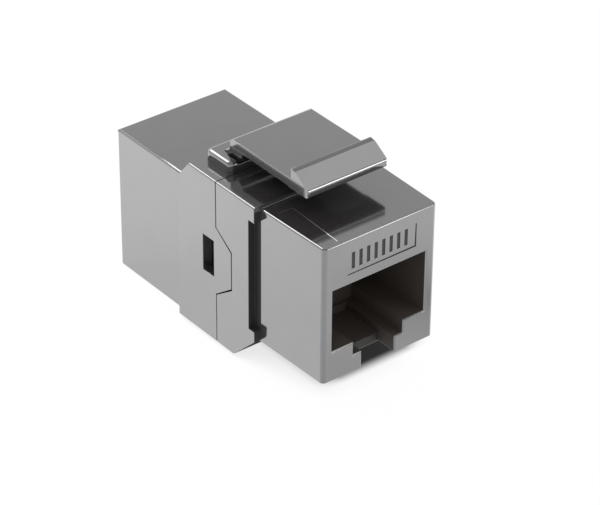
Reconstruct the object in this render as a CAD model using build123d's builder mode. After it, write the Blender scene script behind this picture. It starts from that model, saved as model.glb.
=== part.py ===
import os

from build123d import *

os.makedirs("parts", exist_ok=True)

# Lengths in mm: +X across, +Y from the front face to the rear, +Z up to the latch
total_length = 35.5

# Front body, which passes through the panel
front_side_wall = 1.25
front_height = 16.2
front_base = 3.7
front_corner = 0.5
front_flare = 0.25
front_edge = 0.22

# Collar, which stops behind the panel
collar_step = 1.1
collar_height = 19.9
collar_length = 13.3
collar_base = 0.4
collar_slope_length = 3.65
collar_slope_height = 3.5
collar_chamfer_length = 2.25
collar_chamfer_height = 2.6
collar_edge = 0.2

# Rear block
block_side_wall = 1.15
block_height = 17.25
block_edge = 0.3

# Joint between the two housings, which lies just ahead of the middle
seam_offset = 1.4
seam_depth = 6.4
seam_gap = 0.12
slide_clearance = 0.05
skin = 1.2

# Snap tabs of the rear housing with their windows
tab_reach = 2.5
tab_root_low = 6.6
tab_tip_low = 8.45
tab_tip_high = 12.9
tab_root_high = 14.7
window_start = 0.45
window_length = 1.9
window_low = 8.5
window_height = 4.4

# Tongues and catches of the front housing
tongue_length = 3.1
catch_height = 0.75
catch_clearance = 0.12

# Rebates in the collar's front corners
rebate_depth = 0.95
rebate_low = 5.15
rebate_high = 18.45

# Plug port, the same at both ends, with heights above its housing's underside
port_width = 12.15
port_floor = 3.5
port_height = 7.3
port_wall = 1.6
port_chamfer = 0.15
core_wall = 1.1
chamber_height = 14.9
key_width = 6.55
key_height = 1.55
key_length = 8.5
slot_width = 4.35
slot_floor = 1.1
slot_length = 8.0
slot_mouth = 2.6

# Plain engraving over the port
engrave_depth = 0.12
rule_width = 0.15
rule_left = -4.27
rule_right = 4.67
rule_low = 15.7
rule_high = 18.5
bar_count = 8
bar_pitch = 0.98
bar_width = 0.4
bar_height = 1.9
bar_low = 16.35
bar_shift = -0.12

# Boss on the collar, which carries the latch
boss_width = 12.95
boss_height = 1.27
boss_start = 0.1
boss_length = 4.15
boss_corner = 0.6
boss_edge = 0.45

# Latch arm
latch_width = 10.3
latch_top = 23.5
latch_thickness = 1.05
latch_bend = 0.55
latch_inner_bend = 0.8
latch_heel_length = 0.95
latch_heel_rise = 0.9
latch_heel_lip = 0.1
knuckle_radius = 0.65
knuckle_height = 21.3
hinge_clearance = 0.05
side_groove = 0.32
saddle_lip = 0.28
saddle_lip_drop = 0.35
ridge_back = 8.2
ridge_top = 24.65
ridge_land = 0.75
ridge_front = 5.35
ridge_lip_high = 23.25
ridge_lip_low = 22.42
ridge_belly = 0.15
ridge_heel = 0.9
ridge_edge = 0.1

# Fixed hook under the front body
hook_width = 9.0
hook_drop = 1.25
hook_length = 2.4
hook_ramp = 1.2

# Contacts, counted from the port's face and its housing's underside
contact_count = 8
contact_pitch = 1.016
contact_size = 0.35
contact_bend = 0.45
contact_run = 12.1
contact_nose = 3.0
contact_drop = 1.1
contact_end = 12.7
contact_end_height = 8.5
contact_stagger = 1.2
contact_jog_start = 14.0
contact_jog_length = 1.2
contact_stickout = 0.5

# Contact carriers
carrier_floor = 11.5
carrier_window_width = 8.5
carrier_window_end = 3.9
comb_front = 12.0
comb_depth = 1.3
comb_low = 7.6
comb_clearance = 0.1
mould_clearance = 0.03
tail_pocket_width = 8.4
tail_pocket_low = 7.3
tail_pocket_height = 2.2
tail_pocket_depth = 0.6

# Circuit board
board_thickness = 1.2
board_low = 4.2
board_high = 18.4
board_hole = 0.62
board_clearance = 0.05

# Places that follow from the sizes above
front_y = -total_length / 2
rear_y = total_length / 2
seam_y = -seam_offset
rear_seam_y = seam_y + seam_gap
collar_y = seam_y - seam_depth
block_y = collar_y + collar_length
collar_top = collar_base + collar_height
port_x = port_width / 2
body_x = port_x + front_side_wall
side_x = body_x + collar_step
flare_x = body_x + front_flare
block_width = port_width + 2 * block_side_wall
tab_x = side_x - skin
tongue_x = tab_x - slide_clearance
board_back = board_thickness / 2
carrier_back = board_back + board_clearance
carrier_width = port_width - 2 * slide_clearance
carrier_top = chamber_height - slide_clearance
window_y = seam_y + window_start
boss_y = rear_seam_y + boss_start
saddle_radius = knuckle_radius + hinge_clearance
hinge_y = boss_y + saddle_lip + saddle_radius
boss_top = collar_top + boss_height
contact_xs = [(i - (contact_count - 1) / 2) * contact_pitch for i in range(contact_count)]


def cross_plane(y):
    """Plane across the jack at one length, drawn in X and Z."""
    return Plane.XZ.offset(-y)


def box(x_range, y_range, z_range, mode=Mode.ADD):
    """Box between two corners, in the part that is being built."""
    spans = [x_range, y_range, z_range]
    middle = [(low + high) / 2 for low, high in spans]
    sizes = [high - low for low, high in spans]
    with Locations(Pos(*middle)):
        Box(*sizes, mode=mode)


def port_cuts(y_face, inward, base):
    """Opening, chamber and keyway of one plug port."""
    floor = base + port_floor
    wall_y = y_face + inward * port_wall

    def depth(far):
        return sorted((y_face, y_face + inward * far))

    box((-port_x, port_x), depth(port_wall), (floor, floor + port_height), Mode.SUBTRACT)
    box(
        (-port_x, port_x),
        sorted((wall_y, -inward * carrier_back)),
        (floor, base + chamber_height),
        Mode.SUBTRACT,
    )
    key_low = floor - key_height
    box((-key_width / 2, key_width / 2), depth(key_length), (key_low, floor), Mode.SUBTRACT)
    slot_x = (-slot_width / 2, slot_width / 2)
    box(slot_x, depth(slot_length), (base + slot_floor, key_low), Mode.SUBTRACT)
    box(slot_x, depth(slot_mouth), (base, base + slot_floor), Mode.SUBTRACT)
    for side in (-1, 1):
        box(
            sorted((side * (key_width / 2 + core_wall), side * port_x)),
            sorted((wall_y, seam_y if inward > 0 else rear_seam_y)),
            (base + core_wall, floor - core_wall),
            Mode.SUBTRACT,
        )


def rim_edges(face, base):
    """Edges of a plug port's mouth on its flat face."""
    low = base + slot_floor / 2
    high = base + port_floor + port_height + slide_clearance
    middles = [(edge, edge.center()) for edge in face.edges()]
    return [
        edge
        for edge, middle in middles
        if abs(middle.X) < port_x + slide_clearance and low < middle.Z < high
    ]


def round_collar(housing):
    """Rounds the upper long edges of one collar half."""
    long_edges = housing.edges().filter_by(Axis.Y)
    outer = long_edges.group_by(Axis.X)[0] + long_edges.group_by(Axis.X)[-1]
    fillet(outer.group_by(Axis.Z)[-1], collar_edge)


def tab_outline(grow):
    """Side view of a snap tab, with its root behind the seam, in Y and Z."""
    tip_y = seam_y - tab_reach - grow
    return [
        (rear_seam_y + window_start, tab_root_low - grow),
        (seam_y, tab_root_low - grow),
        (tip_y, tab_tip_low - grow),
        (tip_y, tab_tip_high + grow),
        (seam_y, tab_root_high + grow),
        (rear_seam_y + window_start, tab_root_high + grow),
    ]


def tail_shift(index):
    """Height of one contact's tail over its run: the tails form two rows."""
    return (index % 2 - 0.5) * contact_stagger


def contact_points(index):
    """Centre line of one front contact, in Y and Z."""
    run = front_base + contact_run
    tail = run + tail_shift(index)
    jog = front_y + contact_jog_start
    return [
        (board_back + contact_stickout, tail),
        (jog + contact_jog_length, tail),
        (jog, run),
        (front_y + contact_nose, run),
        (front_y + contact_nose, run - contact_drop),
        (front_y + contact_end, front_base + contact_end_height),
    ]


# Front housing
with BuildPart() as front_housing:
    with BuildSketch(Plane.XY.offset(front_base)):
        with BuildLine():
            Polyline(
                (-flare_x, seam_y),
                (-flare_x, collar_y),
                (-body_x, front_y),
                (body_x, front_y),
                (flare_x, collar_y),
                (flare_x, seam_y),
                close=True,
            )
        make_face()
    extrude(amount=front_height)
    nose = front_housing.edges().filter_by(Axis.Z).group_by(Axis.Y)[0]
    fillet(nose, front_corner)
    rim = front_housing.faces().sort_by(Axis.Z)[-1].edges()
    fillet([edge for edge in rim if edge.center().Y < collar_y], front_edge)

    # Collar half with its sloped lower front
    with BuildSketch(Plane.YZ):
        with BuildLine():
            Polyline(
                (collar_y, collar_base + collar_slope_height),
                (collar_y, collar_top),
                (seam_y, collar_top),
                (seam_y, collar_base),
                (collar_y + collar_slope_length, collar_base),
                close=True,
            )
        make_face()
    extrude(amount=side_x, both=True)
    round_collar(front_housing)

    # Fixed hook that sits behind the panel's lower edge
    with BuildSketch(Plane.YZ):
        hook_y = front_y + ridge_back
        with BuildLine():
            Polyline(
                (hook_y, front_base + port_chamfer),
                (hook_y, front_base - hook_drop),
                (hook_y - hook_length + hook_ramp, front_base - hook_drop),
                (hook_y - hook_length, front_base),
                (hook_y - hook_length, front_base + port_chamfer),
                close=True,
            )
        make_face()
    extrude(amount=hook_width / 2, both=True)

    port_cuts(front_y, 1, front_base)
    chamfer(rim_edges(front_housing.faces().sort_by(Axis.Y)[0], front_base), port_chamfer)

    for side in (-1, 1):
        # Recess for the rear housing's tab
        with BuildSketch(Plane.YZ.offset(side * (side_x + skin))):
            Polygon(*tab_outline(seam_gap), align=None)
        extrude(amount=-side * (2 * skin + slide_clearance), mode=Mode.SUBTRACT)
        # Tongue and catch
        box(
            sorted((side * (port_x + slide_clearance), side * tongue_x)),
            (seam_y - slide_clearance, seam_y + tongue_length),
            (tab_root_low + catch_clearance, tab_root_high - catch_clearance),
        )
        with BuildSketch(Plane.XY.offset(window_low + catch_clearance)):
            with BuildLine():
                Polyline(
                    (side * (tongue_x - slide_clearance), window_y + catch_clearance),
                    (side * (tongue_x + catch_height), window_y + catch_clearance),
                    (side * tongue_x, window_y + window_length - catch_clearance),
                    (side * (tongue_x - slide_clearance), window_y + window_length - catch_clearance),
                    close=True,
                )
            make_face()
        extrude(amount=window_height - 2 * catch_clearance)
        # Rebate in the collar's front corner
        box(
            sorted((side * flare_x, side * (side_x + slide_clearance))),
            (collar_y - slide_clearance, collar_y + rebate_depth),
            (rebate_low, rebate_high),
            Mode.SUBTRACT,
        )

    # Plain rule lines and bars over the port
    with BuildSketch(cross_plane(front_y)):
        with Locations(((rule_left + rule_right) / 2, rule_low + rule_width / 2)):
            Rectangle(rule_right - rule_left, rule_width)
        with Locations((rule_right - rule_width / 2, (rule_low + rule_high) / 2)):
            Rectangle(rule_width, rule_high - rule_low)
        for bar in range(bar_count):
            bar_x = bar_shift + (bar - (bar_count - 1) / 2) * bar_pitch
            with Locations((bar_x, bar_low + bar_height / 2)):
                Rectangle(bar_width, bar_height)
    extrude(amount=-engrave_depth, mode=Mode.SUBTRACT)

front_housing.part.label = "front_housing"
export_step(front_housing.part, "parts/front_housing.step")

# Rear housing
with BuildPart() as rear_housing:
    box((-block_width / 2, block_width / 2), (block_y, rear_y), (0, block_height))
    rim = rear_housing.faces().sort_by(Axis.Z)[-1].edges()
    fillet([edge for edge in rim if edge.center().Y > block_y + block_edge], block_edge)

    # Collar half with its chamfered upper rear
    with BuildSketch(Plane.YZ):
        with BuildLine():
            Polyline(
                (rear_seam_y, collar_base),
                (rear_seam_y, collar_top),
                (block_y - collar_chamfer_length, collar_top),
                (block_y, collar_top - collar_chamfer_height),
                (block_y, collar_base),
                close=True,
            )
        make_face()
    extrude(amount=side_x, both=True)
    round_collar(rear_housing)

    # Boss that carries the latch
    with BuildSketch(Plane.XY.offset(collar_top)):
        with Locations((0, boss_y + boss_length / 2)):
            RectangleRounded(boss_width, boss_length, boss_corner)
    extrude(amount=boss_height)
    fillet(rear_housing.faces().sort_by(Axis.Z)[-1].edges(), boss_edge)

    # Saddle for the latch's knuckle, open to the front
    saddle_x = latch_width / 2 + side_groove
    box(
        (-saddle_x, saddle_x),
        (boss_y - boss_corner, hinge_y + saddle_radius),
        (knuckle_height, boss_top + boss_height),
        Mode.SUBTRACT,
    )
    box(
        (-saddle_x, saddle_x),
        (boss_y - boss_corner, hinge_y - knuckle_radius / 2),
        (knuckle_height - saddle_lip_drop, knuckle_height + slide_clearance),
        Mode.SUBTRACT,
    )
    with BuildSketch(Plane.YZ):
        with Locations((hinge_y, knuckle_height)):
            Circle(saddle_radius)
    extrude(amount=saddle_x, both=True, mode=Mode.SUBTRACT)

    # Snap tabs
    for side in (-1, 1):
        with BuildSketch(Plane.YZ.offset(side * side_x)):
            Polygon(*tab_outline(0), align=None)
        extrude(amount=-side * skin)

    port_cuts(rear_y, -1, 0)
    chamfer(rim_edges(rear_housing.faces().sort_by(Axis.Y)[-1], 0), port_chamfer)

    # Room for the board and the front carrier's end
    box(
        (-port_x, port_x),
        (rear_seam_y, carrier_back + tail_pocket_depth + contact_stickout),
        (port_floor, front_base + chamber_height),
        Mode.SUBTRACT,
    )
    for side in (-1, 1):
        # Pocket for the tongue, and the window for its catch
        box(
            sorted((side * (port_x - slide_clearance), side * tab_x)),
            (rear_seam_y, seam_y + tongue_length + catch_clearance),
            (tab_root_low, tab_root_high),
            Mode.SUBTRACT,
        )
        box(
            sorted((side * (tab_x - slide_clearance), side * (side_x + slide_clearance))),
            (window_y, window_y + window_length),
            (window_low, window_low + window_height),
            Mode.SUBTRACT,
        )

rear_housing.part.label = "rear_housing"
export_step(rear_housing.part, "parts/rear_housing.step")

# Latch arm, drawn from the side
with BuildPart() as latch_arm:
    slab_front = hinge_y - knuckle_radius
    slab_back = hinge_y + knuckle_radius
    latch_under = latch_top - latch_thickness
    ridge_y = front_y + ridge_back
    lip_y = front_y + ridge_front
    heel_low = boss_top + mould_clearance
    heel_y = slab_back + latch_heel_length
    with BuildSketch(Plane.YZ):
        with BuildLine():
            Line((slab_front, knuckle_height), (slab_front, latch_under - latch_inner_bend))
            RadiusArc(
                (slab_front, latch_under - latch_inner_bend),
                (slab_front - latch_inner_bend, latch_under),
                latch_inner_bend,
            )
            Polyline(
                (slab_front - latch_inner_bend, latch_under),
                (ridge_y + ridge_heel, latch_under),
                (ridge_y, latch_under - ridge_belly),
                (lip_y + ridge_heel, latch_under - ridge_belly),
                (lip_y, ridge_lip_low),
                (lip_y, ridge_lip_high),
                (ridge_y - ridge_land, ridge_top - ridge_edge),
                (ridge_y - ridge_edge, ridge_top),
                (ridge_y, ridge_top - ridge_edge),
                (ridge_y, latch_top),
                (slab_back - latch_bend, latch_top),
            )
            RadiusArc((slab_back - latch_bend, latch_top), (slab_back, latch_top - latch_bend), latch_bend)
            Line((slab_back, latch_top - latch_bend), (slab_back, heel_low + latch_heel_rise))
            EllipticalCenterArc(
                (heel_y, heel_low + latch_heel_rise),
                latch_heel_length,
                latch_heel_rise - latch_heel_lip,
                start_angle=180,
                arc_size=90,
            )
            Polyline((heel_y, heel_low + latch_heel_lip), (heel_y, heel_low), (slab_back, heel_low))
            Line((slab_back, heel_low), (slab_back, knuckle_height))
            RadiusArc((slab_back, knuckle_height), (slab_front, knuckle_height), knuckle_radius)
        make_face()
    extrude(amount=latch_width / 2, both=True)

latch_arm.part.label = "latch_arm"
export_step(latch_arm.part, "parts/latch_arm.step")

# Front contacts, bent from flat wire
front_contacts = []
for index, contact_x in enumerate(contact_xs):
    with BuildPart() as front_contact:
        with BuildSketch(Plane.YZ.offset(contact_x)):
            with BuildLine():
                FilletPolyline(*contact_points(index), radius=contact_bend)
            trace(line_width=contact_size)
        extrude(amount=contact_size / 2, both=True)
    front_contact.part.label = f"front_contact_{index + 1}"
    export_step(front_contact.part, f"parts/front_contact_{index + 1}.step")
    front_contacts.append(front_contact.part)

# Front contact carrier, moulded round the contacts
with BuildPart() as front_contact_carrier:
    carrier_x = (-carrier_width / 2, carrier_width / 2)
    box(
        carrier_x,
        (front_y + port_wall + slide_clearance, -carrier_back),
        (front_base + carrier_floor, front_base + carrier_top),
    )
    box(
        carrier_x,
        (front_y + comb_front, -carrier_back),
        (front_base + port_floor + slide_clearance, front_base + carrier_floor),
    )
    box(
        (-carrier_window_width / 2, carrier_window_width / 2),
        (front_y + port_wall, front_y + carrier_window_end),
        (front_base + carrier_floor, front_base + carrier_top),
        Mode.SUBTRACT,
    )
    box(
        (-tail_pocket_width / 2, tail_pocket_width / 2),
        (-carrier_back - tail_pocket_depth, -carrier_back),
        (front_base + tail_pocket_low, front_base + tail_pocket_low + tail_pocket_height),
        Mode.SUBTRACT,
    )
    for index, contact_x in enumerate(contact_xs):
        half_slot = contact_size / 2 + comb_clearance
        box(
            (contact_x - half_slot, contact_x + half_slot),
            (front_y + comb_front, front_y + comb_front + comb_depth),
            (front_base + comb_low, front_base + carrier_floor),
            Mode.SUBTRACT,
        )
        with BuildSketch(Plane.YZ.offset(contact_x)):
            with BuildLine():
                FilletPolyline(*contact_points(index)[:4], radius=contact_bend)
            trace(line_width=contact_size + 2 * mould_clearance)
        extrude(amount=contact_size / 2 + mould_clearance, both=True, mode=Mode.SUBTRACT)

front_contact_carrier.part.label = "front_contact_carrier"
export_step(front_contact_carrier.part, "parts/front_contact_carrier.step")

# The rear set is the front set turned round and lowered to the rear block
with BuildPart() as rear_contact_carrier:
    add(Pos(0, 0, -front_base) * Rot(0, 0, 180) * front_contact_carrier.part)
rear_contact_carrier.part.label = "rear_contact_carrier"
export_step(rear_contact_carrier.part, "parts/rear_contact_carrier.step")

for index, contact in enumerate(front_contacts):
    with BuildPart() as rear_contact:
        add(Pos(0, 0, -front_base) * Rot(0, 0, 180) * contact)
    rear_contact.part.label = f"rear_contact_{index + 1}"
    export_step(rear_contact.part, f"parts/rear_contact_{index + 1}.step")

# Circuit board, drilled for both sets of tails
with BuildPart() as circuit_board:
    board_x = port_x - slide_clearance
    box((-board_x, board_x), (-board_back, board_back), (board_low, board_high))
    with BuildSketch(cross_plane(-board_back)):
        for index, contact_x in enumerate(contact_xs):
            tail_height = contact_run + tail_shift(index)
            with Locations((contact_x, front_base + tail_height), (-contact_x, tail_height)):
                Circle(board_hole / 2)
    extrude(amount=-board_thickness, mode=Mode.SUBTRACT)

circuit_board.part.label = "circuit_board"
export_step(circuit_board.part, "parts/circuit_board.step")
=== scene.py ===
"""Keystone coupler jack: finishes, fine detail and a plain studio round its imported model."""

import math

import bmesh
import bpy
from mathutils import Matrix, Quaternion, Vector


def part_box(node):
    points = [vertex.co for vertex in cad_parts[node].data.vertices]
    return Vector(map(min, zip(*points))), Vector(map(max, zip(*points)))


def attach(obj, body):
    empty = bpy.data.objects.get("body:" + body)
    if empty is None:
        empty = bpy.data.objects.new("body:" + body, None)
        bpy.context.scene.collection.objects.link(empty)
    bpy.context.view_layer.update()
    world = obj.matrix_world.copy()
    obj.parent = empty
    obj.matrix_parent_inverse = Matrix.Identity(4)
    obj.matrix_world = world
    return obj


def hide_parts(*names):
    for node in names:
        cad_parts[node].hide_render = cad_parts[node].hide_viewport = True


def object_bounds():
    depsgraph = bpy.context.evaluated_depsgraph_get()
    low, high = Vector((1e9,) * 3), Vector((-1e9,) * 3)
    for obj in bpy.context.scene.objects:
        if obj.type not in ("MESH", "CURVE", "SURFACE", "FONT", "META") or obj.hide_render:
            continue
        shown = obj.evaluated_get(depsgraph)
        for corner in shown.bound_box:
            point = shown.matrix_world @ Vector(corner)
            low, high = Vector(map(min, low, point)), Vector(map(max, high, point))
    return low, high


bl_info = {
    "name": "Keystone Coupler Jack",
    "version": (1, 0, 0),
    "blender": (4, 5, 0),
    "location": "View3D > Sidebar > Keystone",
    "description": "Finishes, fine detail and a plain studio for a keystone coupler jack",
    "category": "Object",
}

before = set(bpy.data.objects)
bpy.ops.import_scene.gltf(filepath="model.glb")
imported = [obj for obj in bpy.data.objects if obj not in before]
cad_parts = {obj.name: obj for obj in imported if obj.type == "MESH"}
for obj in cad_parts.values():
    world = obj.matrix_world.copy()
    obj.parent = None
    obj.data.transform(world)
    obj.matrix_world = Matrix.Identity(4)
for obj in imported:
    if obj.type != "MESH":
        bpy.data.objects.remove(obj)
cad_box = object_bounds()

MM = 0.001
CONTACT_COUNT = 8
ENDS = ("front", "rear")
FRONT_LOW, FRONT_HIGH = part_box("front_housing")
BOARD_LOW, BOARD_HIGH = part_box("circuit_board")
MIDDLE = (Vector(cad_box[0]) + Vector(cad_box[1])) / 2

# Edges: two faces that turn less than this are one flat face
FLAT_TURN = math.radians(0.5)
ROUNDED_TURN = math.radians(35)  # above this an edge gets a rounding
SHARP_TURN = math.radians(40)  # above this an edge looks sharp
WELD_DISTANCE = 1e-7  # in metres
SHORTEST_ROUNDED = 0.3 * MM  # shorter edges stay as they are
ROUNDING_STEPS = 3

# Polished plastic
PLASTIC_IOR = 1.5
DUST_SHARE = 0.35  # of the places that may hold a speck
DUST_ROUGHNESS = 0.25  # that a speck adds
DUST_COVER = 0.5  # share of the polish that a speck hides
CLOUD_SHEEN = 0.1  # how far the clouds change the polish
DULL_EDGE = 0.02  # width of a dull place's edge, in mm

# Matt plastic of the carriers
CARRIER_CLOUDS = 2.5  # grain of the clouds, in mm
CARRIER_DARK = 0.8  # factor on the colour in dark clouds
CARRIER_LIGHT = 1.25
GRAIN_ROUGHNESS = 0.15  # how far the grain changes the roughness

# Plating of the contacts
MARK_STRETCH = (1, 0.04, 1)  # of the drawing marks along the wire
GOLD_CLOUDS = 1.2  # grain of the clouds, in mm
GOLD_DARK = 0.88  # factor on the colour in dark clouds
MARK_ROUGHNESS = 0.12  # that the marks add
TIN_ROUGHNESS = 0.15  # that the tin adds
TIN_EDGE = 0.15  # width of the tin's edge, in mm

# Circuit board
TRACK_PITCH = 1.016  # in mm
TRACK_STEEPNESS = 9
TRACK_REACH = (5.2, 17.6)  # heights between which the tracks run, in mm
TRACK_END = 0.1  # softness of their ends, in mm
TRACK_SHARE = 0.7  # how much of the tracks shows through the mask
TRACK_LIGHT = 2.1  # factor on the mask's colour over the tracks
HALF_CORE = 0.57  # half of the bare core's thickness, in mm
CORE_EDGE = 0.01
WEAVE_SIZE = 0.35  # grain of the glass weave, in mm
WEAVE_STRETCH = (1, 1, 3)
WEAVE_DARK = 0.6  # factor on the edge's colour in the weave
WEAVE_HEIGHT = 0.15  # as a share of a track's height
WEAVE_ROUGHNESS = 0.1
EDGE_ROUGHNESS = 0.5
MASK_GLOSS = 0.22  # how much smoother the mask is

# Solder
SOLDER_DARK = (0.62, 0.62, 0.6)
SOLDER_LIGHT = (0.78, 0.78, 0.76)
FROST_SIZE = 0.12  # in mm
FROST_HEIGHT = 0.004 * MM
SOLDER_ROUGHNESS = 0.22
FROST_ROUGHNESS = 0.25  # that the frost adds
SOLDER_HOLLOW = 2.2  # how hollow a joint's sides are, where 1 is a straight cone


class Wire:
    """One output socket, on which plain arithmetic adds Math nodes."""

    def __init__(self, finish, socket):
        self.finish = finish
        self.socket = socket

    def _math(self, operation, *values):
        return self.finish.add("ShaderNodeMath", {"operation": operation}, dict(enumerate(values)))

    def __add__(self, other):
        return self._math("ADD", self, other)

    __radd__ = __add__

    def __sub__(self, other):
        return self._math("SUBTRACT", self, other)

    def __rsub__(self, other):
        return self._math("SUBTRACT", other, self)

    def __mul__(self, other):
        return self._math("MULTIPLY", self, other)

    __rmul__ = __mul__

    def __abs__(self):
        return self._math("ABSOLUTE", self)

    def least(self, other):
        return self._math("MINIMUM", self, other)

    def most(self, other):
        return self._math("MAXIMUM", self, other)

    def clamped(self):
        return self.finish.add("ShaderNodeClamp", {}, {"Value": self})


class Finish:
    """The nodes of one material or of the world."""

    def __init__(self, owner):
        owner.use_nodes = True
        self.owner = owner
        self.nodes = owner.node_tree.nodes
        self.links = owner.node_tree.links
        self.nodes.clear()

    def add(self, kind, settings=None, inputs=None, output=0):
        """A node of any kind: settings first, then the values or wires of its sockets."""
        node = self.nodes.new(kind)
        for key, value in (settings or {}).items():
            if key == "stops":
                self._set_stops(node.color_ramp, value)
            else:
                setattr(node, key, value)
        for key, value in (inputs or {}).items():
            if isinstance(value, Wire):
                self.links.new(value.socket, node.inputs[key])
            else:
                node.inputs[key].default_value = value
        return Wire(self, node.outputs[output])

    @staticmethod
    def _set_stops(ramp, stops):
        while len(ramp.elements) < len(stops):
            ramp.elements.new(1)
        for element, (place, colour) in zip(ramp.elements, stops):
            element.position = place
            element.color = (*colour, 1)

    def place(self):
        """The point on the piece, in millimetres of the part's own frame."""
        point = self.add("ShaderNodeTexCoord", {}, {}, "Object")
        return self.add("ShaderNodeVectorMath", {"operation": "SCALE"}, {0: point, "Scale": 1 / MM})

    def axes(self, place):
        return [self.add("ShaderNodeSeparateXYZ", {}, {0: place}, axis) for axis in "XYZ"]

    def noise(self, place, size, detail=2, stretch=(1, 1, 1)):
        """Noise from 0 to 1 whose grain is about size millimetres."""
        moved = self.add("ShaderNodeMapping", {}, {"Vector": place, "Scale": stretch})
        inputs = {"Vector": moved, "Scale": 1 / size, "Detail": detail}
        return self.add("ShaderNodeTexNoise", {}, inputs, "Fac")

    def specks(self, place, spacing, radius, share):
        """Sparse round specks, 1 in their middle and 0 outside."""
        settings = {"feature": "F1"}
        inputs = {"Vector": place, "Scale": 1 / spacing}
        away = self.add("ShaderNodeTexVoronoi", settings, inputs, "Distance")
        tint = self.add("ShaderNodeTexVoronoi", settings, inputs, "Color")
        chosen = self.add("ShaderNodeSeparateColor", {}, {0: tint}, "Red")
        kept = self.add("ShaderNodeMath", {"operation": "LESS_THAN"}, {0: chosen, 1: share})
        return (1 - away * (spacing / radius)).clamped() * kept

    def between(self, value, low, high, soft):
        """1 from low to high, with soft ends."""
        return ((0.5 * (high - low) - abs(value - 0.5 * (low + high))) * (1 / soft)).clamped()

    def blend(self, share, first, second):
        """Two colours, by share."""
        inputs = {"Factor": share, "A": first, "B": second}
        return self.add("ShaderNodeMix", {"data_type": "RGBA"}, inputs, "Result")

    def ramp(self, value, stops):
        return self.add("ShaderNodeValToRGB", {"stops": stops}, {"Fac": value}, "Color")

    def bump(self, height, depth, normal=None):
        inputs = {"Height": height, "Distance": depth, "Strength": 1.0}
        if normal:
            inputs["Normal"] = normal
        return self.add("ShaderNodeBump", {}, inputs, "Normal")

    def finished(self, shader, kind="ShaderNodeOutputMaterial"):
        """Joins the shader to the output, and returns what the nodes belong to."""
        self.links.new(shader.socket, self.nodes.new(kind).inputs["Surface"])
        return self.owner

    def surface(self, **sockets):
        """Ends the material in one shader with these sockets."""
        inputs = {}
        for name, value in sockets.items():
            inputs[name.replace("_", " ").title().replace("Ior", "IOR")] = value
        return self.finished(self.add("ShaderNodeBsdfPrincipled", {}, inputs, "BSDF"))


def rgba(colour):
    return (*colour, 1)


def tinted(colour, factor):
    return (*(part * factor for part in colour), 1)


def gloss_plastic(name, settings, dull_and_shade_boxes=()):
    """Black polished plastic with a slight wobble, faint clouds and a little dust.

    dull_and_shade_boxes are the places, in millimetres, with dull walls, each with the name of its
    colour; in the ports, keyway mouths, rebates and windows that colour is painted shade.
    """
    finish = Finish(bpy.data.materials.new(name))
    place = finish.place()
    clouds = finish.noise(place, settings.cloud_size / MM, detail=3)
    wobble = finish.noise(place, settings.wobble_size / MM, detail=1)
    ripple = finish.noise(place, settings.ripple_size / MM, detail=2)
    spacing, radius = settings.dust_spacing / MM, settings.dust_radius / MM
    dust = finish.specks(place, spacing, radius, DUST_SHARE)
    across, along, up = finish.axes(place)
    colour = rgba(settings.colour)
    dull = 0
    # Each box takes off the polish and puts in its own colour, which is painted shade in the shaded
    # recesses
    for low, high, tint in dull_and_shade_boxes:
        cored = 1
        for value, near, far in zip((abs(across), along, up), low, high):
            cored = finish.between(value, near, far, DULL_EDGE) * cored
        colour = finish.blend(cored, colour, rgba(getattr(settings, tint)))
        dull = cored.most(dull)
    edge_on = finish.add("ShaderNodeFresnel", {}, {"IOR": PLASTIC_IOR})
    echoed = finish.add("ShaderNodeLightPath", {}, {}, "Is Glossy Ray")
    first_seen = 1 - echoed * settings.echo_loss
    sheen = (edge_on * settings.sheen_slope + settings.sheen_base).clamped()
    sheen = sheen * (1 - CLOUD_SHEEN / 2 + CLOUD_SHEEN * clouds) * (1 - dull) * first_seen
    rough = settings.roughness + (clouds - 0.5) * settings.roughness_spread
    rough = rough + dust * DUST_ROUGHNESS + dull * settings.dull_roughness
    colour = finish.blend(dust, colour, rgba(settings.dust_colour))
    normal = finish.bump(wobble, settings.wobble_height)
    normal = finish.bump(ripple, settings.ripple_height, normal)
    return finish.surface(
        base_color=colour,
        roughness=rough.clamped(),
        ior=PLASTIC_IOR,
        coat_weight=(sheen - dust * DUST_COVER).clamped(),
        coat_ior=settings.polish,
        coat_roughness=settings.coat_roughness,
        normal=normal,
    )


def plain_plastic(settings):
    """Matt moulded plastic with a fine spark-eroded grain."""
    finish = Finish(bpy.data.materials.new("Carrier plastic"))
    place = finish.place()
    grain = finish.noise(place, settings.grain_size / MM, detail=3)
    clouds = finish.noise(place, CARRIER_CLOUDS)
    dark, light = tinted(settings.colour, CARRIER_DARK), tinted(settings.colour, CARRIER_LIGHT)
    return finish.surface(
        base_color=finish.blend(clouds, dark, light),
        roughness=(settings.roughness + (grain - 0.5) * GRAIN_ROUGHNESS).clamped(),
        ior=PLASTIC_IOR,
        normal=finish.bump(grain, settings.grain_height),
    )


def drawn_metal(settings):
    """Gold plate over drawn wire, with tin on the tails that go into the board."""
    finish = Finish(bpy.data.materials.new("Contact plating"))
    place = finish.place()
    marks = finish.noise(place, settings.mark_size / MM, 3, MARK_STRETCH)
    clouds = finish.noise(place, GOLD_CLOUDS)
    along = finish.axes(place)[1]
    tinned = finish.between(along, -settings.tinned / MM, settings.tinned / MM, TIN_EDGE)
    gold = finish.blend(clouds, tinted(settings.gold, GOLD_DARK), rgba(settings.gold))
    rough = settings.roughness + marks * MARK_ROUGHNESS + tinned * TIN_ROUGHNESS
    return finish.surface(
        base_color=finish.blend(tinned, gold, rgba(settings.tin)),
        metallic=1.0,
        roughness=rough.clamped(),
        normal=finish.bump(marks, settings.mark_height),
    )


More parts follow.
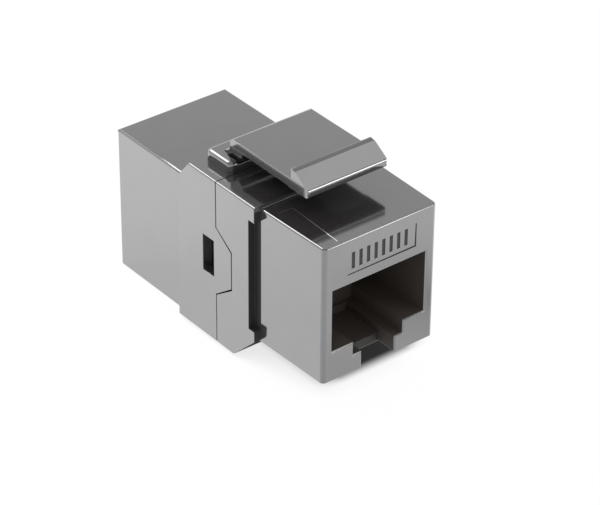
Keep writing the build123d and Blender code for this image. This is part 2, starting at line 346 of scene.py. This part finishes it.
def board_mask(settings):
    """Green solder mask with the faint relief of copper tracks beneath it."""
    finish = Finish(bpy.data.materials.new("Board mask"))
    place = finish.place()
    across, along, up = finish.axes(place)
    folded = {0: across, 1: TRACK_PITCH / 2}
    step = finish.add("ShaderNodeMath", {"operation": "PINGPONG"}, folded)
    tracks = (1 - abs(step - TRACK_PITCH / 4) * TRACK_STEEPNESS).clamped()
    tracks = tracks * finish.between(up, *TRACK_REACH, TRACK_END)
    weave = finish.noise(place, WEAVE_SIZE, 2, WEAVE_STRETCH)
    skin = (1 - finish.between(along, -HALF_CORE, HALF_CORE, CORE_EDGE)).clamped()
    track_colour = tinted(settings.mask, TRACK_LIGHT)
    mask = finish.blend(tracks * TRACK_SHARE, rgba(settings.mask), track_colour)
    edge = finish.blend(weave, rgba(settings.edge), tinted(settings.edge, WEAVE_DARK))
    rough = EDGE_ROUGHNESS - skin * MASK_GLOSS + (weave - 0.5) * WEAVE_ROUGHNESS
    return finish.surface(
        base_color=finish.blend(skin, edge, mask),
        roughness=rough.clamped(),
        ior=PLASTIC_IOR,
        normal=finish.bump(tracks * skin + weave * WEAVE_HEIGHT, settings.track_height),
    )


def solder_metal():
    """Dull bright solder with a slightly frosted skin."""
    finish = Finish(bpy.data.materials.new("Solder"))
    frost = finish.noise(finish.place(), FROST_SIZE, detail=4)
    return finish.surface(
        base_color=finish.blend(frost, rgba(SOLDER_DARK), rgba(SOLDER_LIGHT)),
        metallic=1.0,
        roughness=(SOLDER_ROUGHNESS + frost * FROST_ROUGHNESS).clamped(),
        normal=finish.bump(frost, FROST_HEIGHT),
    )


def inside(edge, box):
    """Whether an edge lies in a box, given in millimetres, or in that box's mirror image."""
    low, high = Vector(box[0]) * MM, Vector(box[1]) * MM
    ends = [(abs(vert.co.x), vert.co.y, vert.co.z) for vert in edge.verts]
    return all(least <= value <= most for end in ends for value, least, most in zip(end, low, high))


def mark_sharp(shape):
    """Smooth faces, with sharp edges wherever two of them turn by more than SHARP_TURN."""
    shape.normal_update()
    for face in shape.faces:
        face.smooth = True
    for edge in shape.edges:
        edge.smooth = edge.calc_face_angle(0) < SHARP_TURN


def new_piece(name, shape, body, material):
    """An object from finished mesh code, which rides on a body."""
    mesh = bpy.data.meshes.new(name)
    mark_sharp(shape)
    shape.to_mesh(mesh)
    shape.free()
    mesh.materials.append(material)
    piece = bpy.data.objects.new(name, mesh)
    bpy.context.scene.collection.objects.link(piece)
    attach(piece, body)
    return piece


def shell_of(node, name, rounding, body, soft_boxes, soft_rounding):
    """A welded copy of a node's shape with small rounded edges, which stands for the node.

    Outward edges that lie wholly inside one of soft_boxes get soft_rounding instead.
    """
    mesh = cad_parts[node].data.copy()
    mesh.name = name
    mesh.materials.clear()
    shape = bmesh.new()
    shape.from_mesh(mesh)
    bmesh.ops.remove_doubles(shape, verts=shape.verts, dist=WELD_DISTANCE)
    bmesh.ops.dissolve_limit(
        shape,
        angle_limit=FLAT_TURN,
        use_dissolve_boundaries=False,
        verts=shape.verts,
        edges=shape.edges,
    )
    shape.normal_update()
    sharp = [
        edge
        for edge in shape.edges
        if edge.calc_face_angle(0) > ROUNDED_TURN and edge.calc_length() > SHORTEST_ROUNDED
    ]
    outward = [edge for edge in sharp if edge.is_convex]
    soft = [edge for edge in outward if any(inside(edge, box) for box in soft_boxes)]
    plain = [edge for edge in sharp if edge not in soft]
    for edges, offset in ((soft, soft_rounding), (plain, rounding)):
        bmesh.ops.bevel(
            shape,
            geom=[edge for edge in edges if edge.is_valid],
            offset=offset,
            offset_type="OFFSET",
            segments=ROUNDING_STEPS,
            profile=0.5,
            affect="EDGES",
            clamp_overlap=False,
        )
    low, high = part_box(node)
    for vert in shape.verts:
        vert.co = [min(max(value, least), most) for value, least, most in zip(vert.co, low, high)]
    mark_sharp(shape)
    shape.to_mesh(mesh)
    shape.free()
    mesh.attributes.remove(mesh.attributes["custom_normal"])
    piece = bpy.data.objects.new(name, mesh)
    bpy.context.scene.collection.objects.link(piece)
    weighted = piece.modifiers.new("Face-weighted normals", "WEIGHTED_NORMAL")
    weighted.keep_sharp = True
    weighted.weight = 100
    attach(piece, body)
    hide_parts(node)
    return piece


def dress(node, material):
    """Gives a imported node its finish."""
    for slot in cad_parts[node].material_slots:
        slot.material = material


def add_fillet(shape, x, y, z, outward, settings):
    """Solder round one tail: a hollow-sided cone that stands on the board."""
    rings = []
    for step in range(settings.rings + 1):
        share = step / settings.rings
        flare = (settings.foot_radius - settings.tail_radius) * (1 - share) ** SOLDER_HOLLOW
        radius = settings.tail_radius + flare
        height = y + outward * settings.height * share
        ring = []
        for turn in range(settings.sides):
            angle = 2 * math.pi * turn / settings.sides
            spot = (x + radius * math.cos(angle), height, z + radius * math.sin(angle))
            ring.append(shape.verts.new(spot))
        rings.append(ring)
    for lower, upper in zip(rings, rings[1:]):
        for turn in range(settings.sides):
            after = (turn + 1) % settings.sides
            shape.faces.new((lower[turn], lower[after], upper[after], upper[turn]))
    shape.faces.new(rings[0])
    shape.faces.new(rings[-1])


def add_mould_line(shape, points, up, width, height):
    """Low raised line with a roof-shaped section, along points on a flat face."""
    rows = []
    for index, point in enumerate(points):
        before = points[max(index - 1, 0)]
        after = points[min(index + 1, len(points) - 1)]
        side = (Vector(after) - Vector(before)).cross(Vector(up)).normalized() * (width / 2)
        middle = Vector(point)
        crest = middle + Vector(up) * height
        rows.append([shape.verts.new(spot) for spot in (middle - side, crest, middle + side)])
    for first, second in zip(rows, rows[1:]):
        for left, right in ((0, 1), (1, 2), (2, 0)):
            shape.faces.new((first[left], first[right], second[right], second[left]))
    shape.faces.new(rows[0])
    shape.faces.new(rows[-1])


class PlasticSettings(bpy.types.PropertyGroup):
    """Black polished plastic of the housings and the latch."""

    colour: bpy.props.FloatVectorProperty(
        name="Colour",
        description="Body colour of the plastic",
        subtype="COLOR",
        size=3,
        min=0,
        max=1,
        default=(0.052, 0.048, 0.05),
    )
    dust_colour: bpy.props.FloatVectorProperty(
        name="Dust colour",
        description="Colour of the few dust specks",
        subtype="COLOR",
        size=3,
        min=0,
        max=1,
        default=(0.35, 0.35, 0.36),
    )
    roughness: bpy.props.FloatProperty(
        name="Roughness",
        description="Roughness of the moulded face",
        subtype="FACTOR",
        min=0,
        max=1,
        default=0.13,
    )
    roughness_spread: bpy.props.FloatProperty(
        name="Roughness spread",
        description="How far the roughness changes from place to place",
        subtype="FACTOR",
        min=0,
        max=1,
        default=0.06,
    )
    coat_roughness: bpy.props.FloatProperty(
        name="Polish roughness",
        description="Roughness of the polished skin",
        subtype="FACTOR",
        min=0,
        max=1,
        default=0.1,
    )
    polish: bpy.props.FloatProperty(
        name="Polish",
        description="Index of refraction of the polished skin, for the strength of reflections",
        min=1,
        max=6,
        default=4.7,
    )
    sheen_slope: bpy.props.FloatProperty(
        name="Sheen slope",
        description="How fast the polish brightens towards grazing angles",
        min=0,
        default=11.0,
    )
    sheen_base: bpy.props.FloatProperty(
        name="Sheen base",
        description="Share of the polish that shows on faces seen squarely",
        subtype="FACTOR",
        min=0,
        max=1,
        default=0.02,
    )
    echo_loss: bpy.props.FloatProperty(
        name="Echo loss",
        description="Share of the polish that is lost in reflections of reflections",
        subtype="FACTOR",
        min=0,
        max=1,
        default=0.74,
    )
    # Painted shade: a flat brownish tone that stands in for the shade inside the ports
    painted_port_shade: bpy.props.FloatVectorProperty(
        name="Dull colour",
        description="Colour of the dull walls inside the ports",
        subtype="COLOR",
        size=3,
        min=0,
        max=1,
        default=(0.085, 0.071, 0.062),
    )
    # Painted shade: a darker tone for the keyway mouths' back walls, the collar's rebates and the
    # catch windows
    painted_deep_shade: bpy.props.FloatVectorProperty(
        name="Deep colour",
        description="Colour of the walls that little light reaches",
        subtype="COLOR",
        size=3,
        min=0,
        max=1,
        default=(0.027, 0.025, 0.024),
    )
    engraved_colour: bpy.props.FloatVectorProperty(
        name="Engraved colour",
        description="Colour inside the engraved bars and rule",
        subtype="COLOR",
        size=3,
        min=0,
        max=1,
        default=(0.055, 0.055, 0.055),
    )
    dull_roughness: bpy.props.FloatProperty(
        name="Dull roughness",
        description="Roughness that the dull walls have on top of the rest",
        subtype="FACTOR",
        min=0,
        max=1,
        default=0.4,
    )
    cloud_size: bpy.props.FloatProperty(
        name="Cloud size",
        description="Grain of the faint clouds in the polish",
        unit="LENGTH",
        default=3.5 * MM,
    )
    wobble_size: bpy.props.FloatProperty(
        name="Wobble size",
        description="Grain of the sink marks that bend reflections",
        unit="LENGTH",
        default=5 * MM,
    )
    wobble_height: bpy.props.FloatProperty(
        name="Wobble height",
        description="Height of the sink marks",
        unit="LENGTH",
        default=0.02 * MM,
    )
    ripple_size: bpy.props.FloatProperty(
        name="Ripple size",
        description="Grain of the fine ripple",
        unit="LENGTH",
        default=0.35 * MM,
    )
    ripple_height: bpy.props.FloatProperty(
        name="Ripple height",
        description="Height of the fine ripple",
        unit="LENGTH",
        default=0.0006 * MM,
    )
    dust_spacing: bpy.props.FloatProperty(
        name="Dust spacing",
        description="Usual distance between dust specks",
        unit="LENGTH",
        default=2.2 * MM,
    )
    dust_radius: bpy.props.FloatProperty(
        name="Dust radius",
        description="Radius of a dust speck",
        unit="LENGTH",
        default=0.05 * MM,
    )
    rounding: bpy.props.FloatProperty(
        name="Edge rounding",
        description="Size of the rounding on the moulded edges",
        unit="LENGTH",
        default=0.05 * MM,
    )
    lip_rounding: bpy.props.FloatProperty(
        name="Lip rounding",
        description="Size of the rounding on the front lip of the latch's ridge",
        unit="LENGTH",
        default=0.2 * MM,
    )
    outer_rounding: bpy.props.FloatProperty(
        name="Outer rounding",
        description="Size of the rounding on the long outer edges of the collar and the block",
        unit="LENGTH",
        default=0.2 * MM,
    )
    latch_rounding: bpy.props.FloatProperty(
        name="Latch rounding",
        description="Size of the rounding on the edges of the latch arm",
        unit="LENGTH",
        default=0.065 * MM,
    )


class CarrierSettings(bpy.types.PropertyGroup):
    """Matt plastic of the two contact carriers."""

    colour: bpy.props.FloatVectorProperty(
        name="Colour",
        description="Colour of the carriers",
        subtype="COLOR",
        size=3,
        min=0,
        max=1,
        default=(0.014, 0.0125, 0.012),
    )
    roughness: bpy.props.FloatProperty(
        name="Roughness",
        description="Roughness of the matt face",
        subtype="FACTOR",
        min=0,
        max=1,
        default=0.6,
    )
    grain_size: bpy.props.FloatProperty(
        name="Grain size",
        description="Size of the spark-eroded grain",
        unit="LENGTH",
        default=0.08 * MM,
    )
    grain_height: bpy.props.FloatProperty(
        name="Grain height",
        description="Height of the spark-eroded grain",
        unit="LENGTH",
        default=0.008 * MM,
    )


class ContactSettings(bpy.types.PropertyGroup):
    """Plating of the sixteen spring contacts."""

    gold: bpy.props.FloatVectorProperty(
        name="Gold",
        description="Colour of the gold plate",
        subtype="COLOR",
        size=3,
        min=0,
        max=1,
        default=(0.83, 0.6, 0.24),
    )
    tin: bpy.props.FloatVectorProperty(
        name="Tin",
        description="Colour of the tinned tails",
        subtype="COLOR",
        size=3,
        min=0,
        max=1,
        default=(0.66, 0.66, 0.64),
    )
    tinned: bpy.props.FloatProperty(
        name="Tinned length",
        description="How far from the board's middle the tails are tinned",
        unit="LENGTH",
        default=1.6 * MM,
    )
    roughness: bpy.props.FloatProperty(
        name="Roughness",
        description="Roughness of the plate",
        subtype="FACTOR",
        min=0,
        max=1,
        default=0.16,
    )
    mark_size: bpy.props.FloatProperty(
        name="Mark size",
        description="Spacing of the drawing marks along the wire",
        unit="LENGTH",
        default=0.05 * MM,
    )
    mark_height: bpy.props.FloatProperty(
        name="Mark height",
        description="Height of the drawing marks",
        unit="LENGTH",
        default=0.002 * MM,
    )


class BoardSettings(bpy.types.PropertyGroup):
    """Circuit board inside the jack."""

    mask: bpy.props.FloatVectorProperty(
        name="Mask",
        description="Colour of the solder mask",
        subtype="COLOR",
        size=3,
        min=0,
        max=1,
        default=(0.015, 0.1, 0.035),
    )
    edge: bpy.props.FloatVectorProperty(
        name="Edge",
        description="Colour of the bare glass-epoxy edge",
        subtype="COLOR",
        size=3,
        min=0,
        max=1,
        default=(0.42, 0.38, 0.2),
    )
    track_height: bpy.props.FloatProperty(
        name="Track height",
        description="Height of the tracks under the mask",
        unit="LENGTH",
        default=0.035 * MM,
    )


class SolderSettings(bpy.types.PropertyGroup):
    """Solder round the tails on the board."""

    foot_radius: bpy.props.FloatProperty(
        name="Foot radius",
        description="Radius of the solder on its pad",
        unit="LENGTH",
        default=0.42 * MM,
    )
    tail_radius: bpy.props.FloatProperty(
        name="Tail radius",
        description="Radius of the solder where it meets the tail",
        unit="LENGTH",
        default=0.24 * MM,
    )
    height: bpy.props.FloatProperty(
        name="Height",
        description="How far the solder climbs up the tail",
        unit="LENGTH",
        default=0.36 * MM,
    )
    rings: bpy.props.IntProperty(
        name="Rings",
        description="Rings of faces from the pad to the tail",
        min=2,
        default=8,
    )
    sides: bpy.props.IntProperty(
        name="Sides",
        description="Faces round each joint",
        min=8,
        default=24,
    )


class MouldLineSettings(bpy.types.PropertyGroup):
    """Fine raised lines that the mould's inserts leave."""

    width: bpy.props.FloatProperty(
        name="Width",
        description="Width of a mould line",
        unit="LENGTH",
        default=0.09 * MM,
    )
    height: bpy.props.FloatProperty(
        name="Height",
        description="Height of a mould line",
        unit="LENGTH",
        default=0.018 * MM,
    )


class StageSettings(bpy.types.PropertyGroup):
    """Floor, lamps, world and camera."""

    focal_length: bpy.props.FloatProperty(
        name="Focal length",
        description="Camera lens on a sensor 36 mm wide, in millimetres",
        min=1,
        default=168.69,
    )
    floor_radius: bpy.props.FloatProperty(
        name="Floor radius",
        description="Radius of the round floor",
        unit="LENGTH",
        default=3.0,
    )
    shadow_reach: bpy.props.FloatProperty(
        name="Shadow reach",
        description="How near the part must be to darken the floor",
        unit="LENGTH",
        default=25 * MM,
    )
    soft_shadow: bpy.props.FloatProperty(
        name="Soft shadow",
        description="Depth of the soft shadow on the floor round the part",
        subtype="FACTOR",
        min=0,
        max=1,
        default=0.2,
    )
    room_reach: bpy.props.FloatProperty(
        name="Room reach",
        description="How near the part must be to dim the floor that its own faces mirror",
        unit="LENGTH",
        default=60 * MM,
    )
    room_share: bpy.props.FloatProperty(
        name="Room share",
        description="How much of that dimming the mirrored floor takes",
        subtype="FACTOR",
        min=0,
        max=1,
        default=0.6,
    )
    shadow_slope: bpy.props.FloatProperty(
        name="Shadow slope",
        description="How fast the floor clears as more of the room is seen from it",
        min=0,
        default=2.9,
    )
    shadow_start: bpy.props.FloatProperty(
        name="Shadow start",
        description="Taken off, so that the floor stays dark close beneath the part",
        min=0,
        default=0.29,
    )
    lamp_distance: bpy.props.FloatProperty(
        name="Lamp distance",
        description="Distance of each lamp from the part's middle",
        unit="LENGTH",
        default=0.5,
    )
    key_level: bpy.props.FloatProperty(
        name="Key lamp",
        description="Brightness of the soft lamp high on the right, where 1 is white",
        min=0,
        default=0.72,
    )
    strip_level: bpy.props.FloatProperty(
        name="Rear strip",
        description="Brightness of the long lamp high behind, which lights the top edges",
        min=0,
        default=3.2,
    )
    front_level: bpy.props.FloatProperty(
        name="Front strip",
        description="Brightness of the low lamp at the front right, which lights the front edges",
        min=0,
        default=4.4,
    )
    fill_level: bpy.props.FloatProperty(
        name="Fill",
        description="Brightness of the room's even light",
        min=0,
        default=0.6,
    )
    high_level: bpy.props.FloatProperty(
        name="Upper background",
        description="Brightness of the background well above the horizon, where 1 is white",
        min=0,
        max=1,
        default=0.48,
    )


# Dull places, as boxes in millimetres that count for x on both sides, each with its colour: inside
# them the polish is taken off and the colour is swapped.
# In front: port, mouth of the keyway, the collar's rebates and the catch windows, which get painted
# shade, and the engraving, which gets its own matt colour.
# Behind: port, mouth of the keyway and the catch windows, which get painted shade.
CATCH_WINDOW = ((6.9, -0.93, 8.52), (8.2, 0.93, 12.88), "painted_deep_shade")
FRONT_DULL_AND_SHADE = [
    ((-0.1, -17.6, 3.75), (6.2, 0, 18.7), "painted_port_shade"),
    ((-0.1, -15.2, 3.75), (3.4, -15.1, 4.95), "painted_deep_shade"),
    ((-0.1, -17.68, 15.5), (4.9, -17.5, 18.7), "engraved_colour"),
    ((7.5, -7.9, 3.85), (8.41, -6.82, 19.75), "painted_deep_shade"),
    CATCH_WINDOW,
]
REAR_DULL_AND_SHADE = [
    ((-0.1, -1, 0.05), (6.2, 17.6, 15.0), "painted_port_shade"),
    ((-0.1, 15.1, 0.05), (3.4, 15.2, 1.25), "painted_deep_shade"),
    CATCH_WINDOW,
]

# Front lip of the latch's ridge, in millimetres
LATCH_SOFT_EDGES = [((0, -12.5, 22.3), (5.2, -12.3, 23.4))]

# Lower side edge of the front body's collar, in millimetres
FRONT_SOFT_EDGES = [((8.3, -7.85, 0.35), (8.5, -1.35, 3.95))]

# Rear and lower side edges of the collar, then of the block, in millimetres
REAR_SOFT_EDGES = [
    ((8.3, 3.3, 0.3), (8.5, 5.6, 20.2)),
    ((8.3, -1.35, 0.3), (8.5, 5.6, 0.5)),
    ((7.1, 17.7, -0.1), (7.3, 17.8, 17.0)),
    ((7.1, 5.4, -0.1), (7.3, 17.8, 0.1)),
    ((2.3, 17.7, -0.1), (7.3, 17.8, 0.1)),
]

# Heights of the tails: of even contacts, then of odd ones
TAIL_HEIGHTS = {"front": (16.4 * MM, 15.2 * MM), "rear": (12.7 * MM, 11.5 * MM)}

# Shadow beneath the part: where it starts and ends, and how soft its ends are, in millimetres
SHADOW_ACROSS = (-5.2, 10.5, 3.5)
SHADOW_ALONG = (-15.0, 6.0, 2)

# Dim spot that the front face mirrors: start, end and softness in millimetres, and its depth
SPOT_ACROSS = (4, 28, 12)
SPOT_ALONG = (-39, -15, 12)
SPOT_DEPTH = 0.45

# Dimming of the floor that the part's faces mirror
DIM_LIMIT = 0.27  # most that it takes for nearness alone
DIM_AHEAD = 0.7  # that it gains ahead of the part
AHEAD_SLOPE = 0.2  # how fast it gains that, for each mm

# Floor
FLOOR_GAP = 0.02 * MM
FLOOR_SIDES = 96
FLOOR_COLOUR = (0.8, 0.8, 0.8)
FLOOR_SHARE = 0.96  # of what is seen of it that doesn't depend on the lamps
COVERED_LEVEL = 0.02  # brightness where the part covers it
NEAR_SAMPLES = 24
WIDE_SAMPLES = 4

# Heights on a ball of radius 1: the background is white up to the first and grey from the second
WHITE_HEIGHT = 0.15
GREY_HEIGHT = 0.5

# Step from the front body's top up to the collar's
COLLAR_STEP = 0.4 * MM

# Mould lines on the front body's top: x, and distance from the front face, in millimetres
MOULD_LINES = (
    ((-6.7, 8.2), (-4.88, 8.14)),
    ((-4.88, 8.14), (-5.18, 0.56)),
    ((-7.02, 1.3), (-5.15, 1.3)),
)


class KEYSTONE_OT_front_housing(bpy.types.Operator):
    """Front body with the plug port and the front half of the collar"""

    bl_idname = "keystone.front_housing"
    bl_label = "Front housing"

    def execute(self, context):
        settings = context.scene.keystone_plastic
        shell = shell_of(
            "front_housing",
            "front_housing_shell",
            settings.rounding,
            "housing",
            FRONT_SOFT_EDGES,
            settings.outer_rounding,
        )
        material = gloss_plastic("Front housing plastic", settings, FRONT_DULL_AND_SHADE)
        shell.data.materials.append(material)
        return {"FINISHED"}


class KEYSTONE_OT_rear_housing(bpy.types.Operator):
    """Rear block with the second port, the snap tabs and the latch boss"""

    bl_idname = "keystone.rear_housing"
    bl_label = "Rear housing"

    def execute(self, context):
        settings = context.scene.keystone_plastic
        shell = shell_of(
            "rear_housing",
            "rear_housing_shell",
            settings.rounding,
            "housing",
            REAR_SOFT_EDGES,
            settings.outer_rounding,
        )
        material = gloss_plastic("Rear housing plastic", settings, REAR_DULL_AND_SHADE)
        shell.data.materials.append(material)
        return {"FINISHED"}


class KEYSTONE_OT_latch_arm(bpy.types.Operator):
    """Latch arm with its catch ridge"""

    bl_idname = "keystone.latch_arm"
    bl_label = "Latch arm"

    def execute(self, context):
        settings = context.scene.keystone_plastic
        shell = shell_of(
            "latch_arm",
            "latch_arm_shell",
            settings.latch_rounding,
            "latch",
            LATCH_SOFT_EDGES,
            settings.lip_rounding,
        )
        shell.data.materials.append(gloss_plastic("Latch plastic", settings))
        return {"FINISHED"}


class KEYSTONE_OT_contact_carriers(bpy.types.Operator):
    """Matt finish of the two contact carriers"""

    bl_idname = "keystone.contact_carriers"
    bl_label = "Contact carriers"

    def execute(self, context):
        material = plain_plastic(context.scene.keystone_carrier)
        for end in ENDS:
            dress(f"{end}_contact_carrier", material)
        return {"FINISHED"}


class KEYSTONE_OT_contacts(bpy.types.Operator):
    """Gold and tin plating of the sixteen contacts"""

    bl_idname = "keystone.contacts"
    bl_label = "Contacts"

    def execute(self, context):
        material = drawn_metal(context.scene.keystone_contacts)
        for end in ENDS:
            for number in range(1, CONTACT_COUNT + 1):
                dress(f"{end}_contact_{number}", material)
        return {"FINISHED"}


class KEYSTONE_OT_circuit_board(bpy.types.Operator):
    """Green mask of the circuit board"""

    bl_idname = "keystone.circuit_board"
    bl_label = "Circuit board"

    def execute(self, context):
        dress("circuit_board", board_mask(context.scene.keystone_board))
        return {"FINISHED"}


class KEYSTONE_OT_solder(bpy.types.Operator):
    """Solder round the tails, where they come through the board"""

    bl_idname = "keystone.solder"
    bl_label = "Solder"

    def execute(self, context):
        settings = context.scene.keystone_solder
        material = solder_metal()
        for end, outward, face in (("front", 1, BOARD_HIGH[1]), ("rear", -1, BOARD_LOW[1])):
            shape = bmesh.new()
            for number in range(1, CONTACT_COUNT + 1):
                low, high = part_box(f"{end}_contact_{number}")
                tail_z = TAIL_HEIGHTS[end][number % 2]
                add_fillet(shape, (low[0] + high[0]) / 2, face, tail_z, outward, settings)
            bmesh.ops.recalc_face_normals(shape, faces=shape.faces)
            new_piece(f"{end}_solder", shape, "housing", material)
        return {"FINISHED"}


class KEYSTONE_OT_mould_lines(bpy.types.Operator):
    """Fine raised lines on top of the front body"""

    bl_idname = "keystone.mould_lines"
    bl_label = "Mould lines"

    def execute(self, context):
        settings = context.scene.keystone_mould_lines
        shape = bmesh.new()
        top = FRONT_HIGH[2] - COLLAR_STEP
        for line in MOULD_LINES:
            points = [(x * MM, FRONT_LOW[1] + depth * MM, top) for x, depth in line]
            add_mould_line(shape, points, (0, 0, 1), settings.width, settings.height)
        bmesh.ops.recalc_face_normals(shape, faces=shape.faces)
        material = gloss_plastic("Mould line plastic", context.scene.keystone_plastic)
        new_piece("mould_lines", shape, "housing", material)
        return {"FINISHED"}


class KEYSTONE_OT_stage(bpy.types.Operator):
    """Pale floor, soft studio light and the camera"""

    bl_idname = "keystone.stage"
    bl_label = "Stage"

    def execute(self, context):
        settings = context.scene.keystone_stage
        make_floor(settings)
        make_world(context.scene, settings)
        make_lamps(settings)
        make_camera(context.scene, settings)
        return {"FINISHED"}


# Camera that was fitted to the photograph: its place in metres, then its right, up and backwards
CAMERA_PLACE = (-0.15388938, -0.19768461, 0.17043818)
CAMERA_RIGHT = (0.784526, -0.620059, 0.006806)
CAMERA_UP = (0.333325, 0.430941, 0.838561)
CAMERA_BACK = (-0.52289, -0.655604, 0.544765)


def make_camera(scene, settings):
    data = bpy.data.cameras.new("Camera")
    data.lens = settings.focal_length
    data.sensor_width = 36
    data.clip_start = 0.01
    data.clip_end = 20
    camera = bpy.data.objects.new("Camera", data)
    scene.collection.objects.link(camera)
    turn = Matrix((CAMERA_RIGHT, CAMERA_UP, CAMERA_BACK)).transposed()
    camera.matrix_world = Matrix.Translation(CAMERA_PLACE) @ turn.to_4x4()
    scene.camera = camera
    scene.view_settings.view_transform = "Standard"


def seen_directly(finish):
    """1 for rays from the camera, and for those that metal, gloss and glass send on."""
    direct = [
        finish.add("ShaderNodeLightPath", {}, {}, name)
        for name in ("Is Camera Ray", "Is Glossy Ray", "Is Transmission Ray")
    ]
    return direct[0].most(direct[1]).most(direct[2])


def pale_floor(settings):
    """White to look at, with a soft shadow beneath the part, and dimmer where the part mirrors it."""
    finish = Finish(bpy.data.materials.new("Pale floor"))
    near, wide = (
        finish.add("ShaderNodeAmbientOcclusion", {"samples": samples}, {"Distance": reach}, "AO")
        for samples, reach in (
            (NEAR_SAMPLES, settings.shadow_reach),
            (WIDE_SAMPLES, settings.room_reach),
        )
    )
    near = (near * settings.shadow_slope - settings.shadow_start).clamped()
    across, along = finish.axes(finish.place())[:2]
    ahead = ((FRONT_LOW[1] / MM - along) * AHEAD_SLOPE).clamped()
    roomless = 1 - wide
    dimmed = 1 - (roomless.least(DIM_LIMIT) + roomless * ahead * DIM_AHEAD) * settings.room_share
    spot = finish.between(across, *SPOT_ACROSS) * finish.between(along, *SPOT_ALONG)
    dimmed = dimmed * (1 - spot * SPOT_DEPTH)
    covered = finish.between(across, *SHADOW_ACROSS) * finish.between(along, *SHADOW_ALONG)
    covered = covered * covered * (3 - covered * 2)
    straight = (1 - (1 - near) * settings.soft_shadow) * (1 - covered)
    echoed = finish.add("ShaderNodeLightPath", {}, {}, "Is Glossy Ray")
    level = COVERED_LEVEL + (straight + echoed * (near * dimmed - straight))
    lit = finish.add("ShaderNodeBsdfDiffuse", {}, {"Color": rgba(FLOOR_COLOUR)}, "BSDF")
    white = finish.add("ShaderNodeEmission", {}, {"Color": level, "Strength": 1.0}, "Emission")
    share = seen_directly(finish) * FLOOR_SHARE
    return finish.finished(finish.add("ShaderNodeMixShader", {}, {0: share, 1: lit, 2: white}))


def make_floor(settings):
    """Round floor just under the part."""
    shape = bmesh.new()
    radius = settings.floor_radius
    bmesh.ops.create_circle(shape, cap_ends=True, radius=radius, segments=FLOOR_SIDES)
    mesh = bpy.data.meshes.new("Floor")
    shape.to_mesh(mesh)
    shape.free()
    floor = bpy.data.objects.new("Floor", mesh)
    floor.location = (0, 0, -FLOOR_GAP)
    bpy.context.scene.collection.objects.link(floor)
    mesh.materials.append(pale_floor(settings))


def make_world(scene, settings):
    """White at the horizon and greyer above for what is seen, and an even fill for the rest."""
    world = bpy.data.worlds.new("Room")
    scene.world = world
    finish = Finish(world)
    direction = finish.add("ShaderNodeTexCoord", {}, {}, "Generated")
    height = finish.add("ShaderNodeSeparateXYZ", {}, {0: direction}, "Z")
    high = settings.high_level
    seen = finish.ramp(height, [(WHITE_HEIGHT, (1, 1, 1)), (GREY_HEIGHT, (high, high, high))])
    fill = settings.fill_level
    colour = finish.blend(seen_directly(finish), (fill, fill, fill, 1), seen)
    light = finish.add("ShaderNodeBackground", {}, {"Color": colour, "Strength": 1.0})
    finish.finished(light, "ShaderNodeOutputWorld")


def make_lamps(settings):
    """Soft lamps, each turned towards the middle of the part.

    Each has a name, a direction from the part, a roll in degrees, a width and height in metres
    and a brightness.
    """
    lamps = [
        ("Key lamp", (0.523, -0.251, 0.815), 0, (0.20, 0.16), settings.key_level),
        ("Rear strip", (-0.1, 0.66, 0.745), -12, (0.36, 0.18), settings.strip_level),
        ("Front strip", (0.523, -0.806, 0.276), 0, (0.09, 0.19), settings.front_level),
    ]
    for name, direction, roll, size, level in lamps:
        data = bpy.data.lights.new(name, "AREA")
        data.shape = "RECTANGLE"
        data.size, data.size_y = size
        data.energy = level * math.pi * size[0] * size[1]
        lamp = bpy.data.objects.new(name, data)
        back = Vector(direction).normalized()
        lamp.location = MIDDLE + back * settings.lamp_distance
        lamp.rotation_mode = "QUATERNION"
        turn = Quaternion(back, math.radians(roll))
        lamp.rotation_quaternion = turn @ (-back).to_track_quat("-Z", "Y")
        lamp.visible_camera = False
        bpy.context.scene.collection.objects.link(lamp)


class KEYSTONE_PT_panel(bpy.types.Panel):
    """Builds the jack's finishes and its stage, piece by piece"""

    bl_idname = "KEYSTONE_PT_panel"
    bl_label = "Keystone Coupler Jack"
    bl_space_type = "VIEW_3D"
    bl_region_type = "UI"
    bl_category = "Keystone"

    def draw(self, context):
        for group in GROUPS:
            settings = getattr(context.scene, group)
            box = self.layout.box()
            for name in settings.bl_rna.properties.keys():
                if name not in ("rna_type", "name"):
                    box.prop(settings, name)
        for step in STEPS:
            self.layout.operator(step.bl_idname)


GROUPS = {
    "keystone_plastic": PlasticSettings,
    "keystone_carrier": CarrierSettings,
    "keystone_contacts": ContactSettings,
    "keystone_board": BoardSettings,
    "keystone_solder": SolderSettings,
    "keystone_mould_lines": MouldLineSettings,
    "keystone_stage": StageSettings,
}
STEPS = (
    KEYSTONE_OT_front_housing,
    KEYSTONE_OT_rear_housing,
    KEYSTONE_OT_latch_arm,
    KEYSTONE_OT_contact_carriers,
    KEYSTONE_OT_contacts,
    KEYSTONE_OT_circuit_board,
    KEYSTONE_OT_solder,
    KEYSTONE_OT_mould_lines,
    KEYSTONE_OT_stage,
)
CLASSES = (*GROUPS.values(), *STEPS, KEYSTONE_PT_panel)


def register():
    for item in CLASSES:
        bpy.utils.register_class(item)
    for name, group in GROUPS.items():
        setattr(bpy.types.Scene, name, bpy.props.PointerProperty(type=group))


def unregister():
    for name in GROUPS:
        delattr(bpy.types.Scene, name)
    for item in reversed(CLASSES):
        bpy.utils.unregister_class(item)


def main():
    register()
    for step in STEPS:
        group, name = step.bl_idname.split(".")
        getattr(getattr(bpy.ops, group), name)()


if __name__ == "__main__":
    main()
